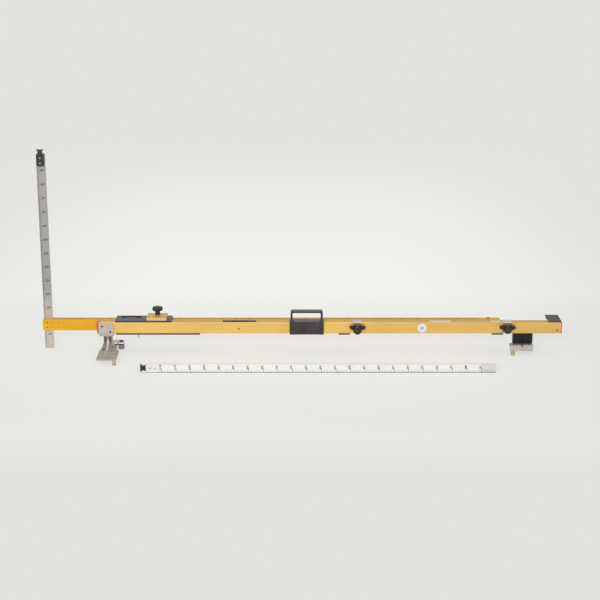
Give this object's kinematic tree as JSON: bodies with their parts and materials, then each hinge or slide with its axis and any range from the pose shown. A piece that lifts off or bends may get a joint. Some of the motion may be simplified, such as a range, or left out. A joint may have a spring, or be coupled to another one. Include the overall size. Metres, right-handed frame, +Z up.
{
  "type": "railway track gauge",
  "caption": "Beam gauge that rests on two rails, with a sliding reach arm, an upright height rule in the arm's end, a carrying handle, a level, lock screws and a loose rule.",
  "frame": {"origin": "on the floor, under the middle of the whole object's footprint", "axes": "+X along the beam towards the insulated right foot, +Y from the beam's front face towards the sliding arm, +Z up"},
  "size_m": [1.857, 0.294, 0.727],
  "materials": {
    "beam_gold": "gold anodised, fine extrusion grain",
    "cap_red": "moulded orange-red plastic",
    "guide_black": "black anodised, worn to dark grey",
    "end_plate_brown": "brown-black anodised",
    "strip_plastic": "black sliding plastic",
    "clamp_gold": "gold anodised block",
    "screw_dark": "blackened steel screws",
    "screw_light": "bright zinc-plated screws",
    "handle_black": "black paint, satin",
    "level_black": "black level housing",
    "vial_glass": "clear vial with pale yellow-green liquid",
    "foot_alloy": "cast and machined light alloy, handled",
    "bracket_alloy": "pale machined light alloy",
    "shoe_steel": "ground steel",
    "pin_brass": "turned brass",
    "pin_steel": "turned steel",
    "insulator_black": "ribbed black insulating plastic",
    "label_white": "blank white plastic",
    "strap_steel": "bright steel",
    "boss_bronze": "dark bronze",
    "knob_black": "moulded black phenolic",
    "pad_plastic": "pale plastic pad",
    "arm_orange": "orange-gold anodised, satin",
    "rule_grey": "bare satin aluminium with dark divisions",
    "rule_white": "white-lacquered aluminium with dark divisions"
  },
  "bodies": {
    "gauge_beam": {"main_beam": "beam_gold", "beam_end_caps": "cap_red", "top_guide_plate": "guide_black", "bottom_guide_plate": "guide_black", "rear_guide_wall": "guide_black", "vernier_plate": "guide_black", "arm_carrier_mid": "guide_black", "arm_carrier_end": "guide_black", "end_plate": "end_plate_brown", "front_guide_strip": "strip_plastic", "clamp_block": "clamp_gold", "top_screws": "screw_dark", "low_screws": "screw_dark", "handle_screws": "screw_dark", "left_foot_screws": "screw_dark", "right_foot_screws": "screw_dark", "left_rear_spacer": "screw_dark", "guide_adjust_screw": "screw_light", "beam_face_screws": "screw_light", "handle_saddle": "handle_black", "handle_hoop": "handle_black", "level_housing": "level_black", "level_vial": "vial_glass", "left_foot_casting": "foot_alloy", "left_foot_bracket": "bracket_alloy", "left_sole_plate": "shoe_steel", "right_shoe": "shoe_steel", "left_front_pin": "pin_brass", "right_front_pin": "pin_brass", "right_rear_pin": "pin_brass", "left_rear_pin": "pin_steel", "right_insulator": "insulator_black", "blank_labels": "label_white", "face_disc": "label_white", "lock_strap_mid": "strap_steel", "lock_strap_end": "strap_steel", "lock_boss_mid": "boss_bronze", "lock_boss_end": "boss_bronze"},
    "arm": {"sliding_arm": "arm_orange", "arm_end_block": "arm_orange", "arm_right_plug": "knob_black", "rule_brake_shoe": "strip_plastic", "arm_end_screws": "screw_dark", "arm_stop_screw": "screw_light"},
    "height_rule": {"height_rule": "rule_grey", "height_rule_head": "knob_black", "height_rule_rivets": "screw_light"},
    "clamp_screw": {"clamp_knob": "knob_black", "clamp_stud": "screw_light"},
    "clamp_foot": {"clamp_shoe": "pin_brass"},
    "lock_screw_mid": {"lock_knob_mid": "knob_black", "lock_stud_mid": "screw_light"},
    "lock_foot_mid": {"lock_pad_mid": "pad_plastic"},
    "lock_screw_end": {"lock_knob_end": "knob_black", "lock_stud_end": "screw_light"},
    "lock_foot_end": {"lock_pad_end": "pad_plastic"},
    "loose_rule": {"spare_rule": "rule_white", "spare_rule_head": "knob_black", "spare_rule_rivets": "screw_light"}
  },
  "joints": [
    {"name": "arm_slide", "type": "slide", "parent": "gauge_beam", "child": "arm", "axis": [-1, 0, 0], "range_m": [-0.185, 1.1275]},
    {"name": "height_rule_slide", "type": "slide", "parent": "arm", "child": "height_rule", "axis": [0, 0, 1], "range_m": [-0.558, 0.09]},
    {"name": "clamp_turn", "type": "hinge", "parent": "gauge_beam", "child": "clamp_screw", "pos_m": [-0.5165, 0.1235, 0.14], "axis": [0, 0, -1], "range_deg": [-90, 165]},
    {"name": "clamp_foot_slide", "type": "slide", "parent": "gauge_beam", "child": "clamp_foot", "axis": [0, 0, -1], "range_m": [-0.0004, 0.0006]},
    {"name": "lock_mid_turn", "type": "hinge", "parent": "gauge_beam", "child": "lock_screw_mid", "pos_m": [0.1985, 0.055, 0.09125], "axis": [0, 1, 0], "range_deg": [-90, 240]},
    {"name": "lock_mid_foot_slide", "type": "slide", "parent": "gauge_beam", "child": "lock_foot_mid", "axis": [0, 1, 0], "range_m": [-0.0004, 0.0009]},
    {"name": "lock_end_turn", "type": "hinge", "parent": "gauge_beam", "child": "lock_screw_end", "pos_m": [0.7325, 0.055, 0.09125], "axis": [0, 1, 0], "range_deg": [-90, 240]},
    {"name": "lock_end_foot_slide", "type": "slide", "parent": "gauge_beam", "child": "lock_foot_end", "axis": [0, 1, 0], "range_m": [-0.0004, 0.0009]},
    {"name": "loose_rule_lift", "type": "slide", "parent": "gauge_beam", "child": "loose_rule", "axis": [0, 0, 1], "range_m": [0, 0.3]}
  ],
  "couplings": [
    {"joint": "clamp_foot_slide", "follows": "clamp_turn", "m_per_rad": 0.00019894},
    {"joint": "lock_mid_foot_slide", "follows": "lock_mid_turn", "m_per_rad": 0.00019894},
    {"joint": "lock_end_foot_slide", "follows": "lock_end_turn", "m_per_rad": 0.00019894}
  ]
}
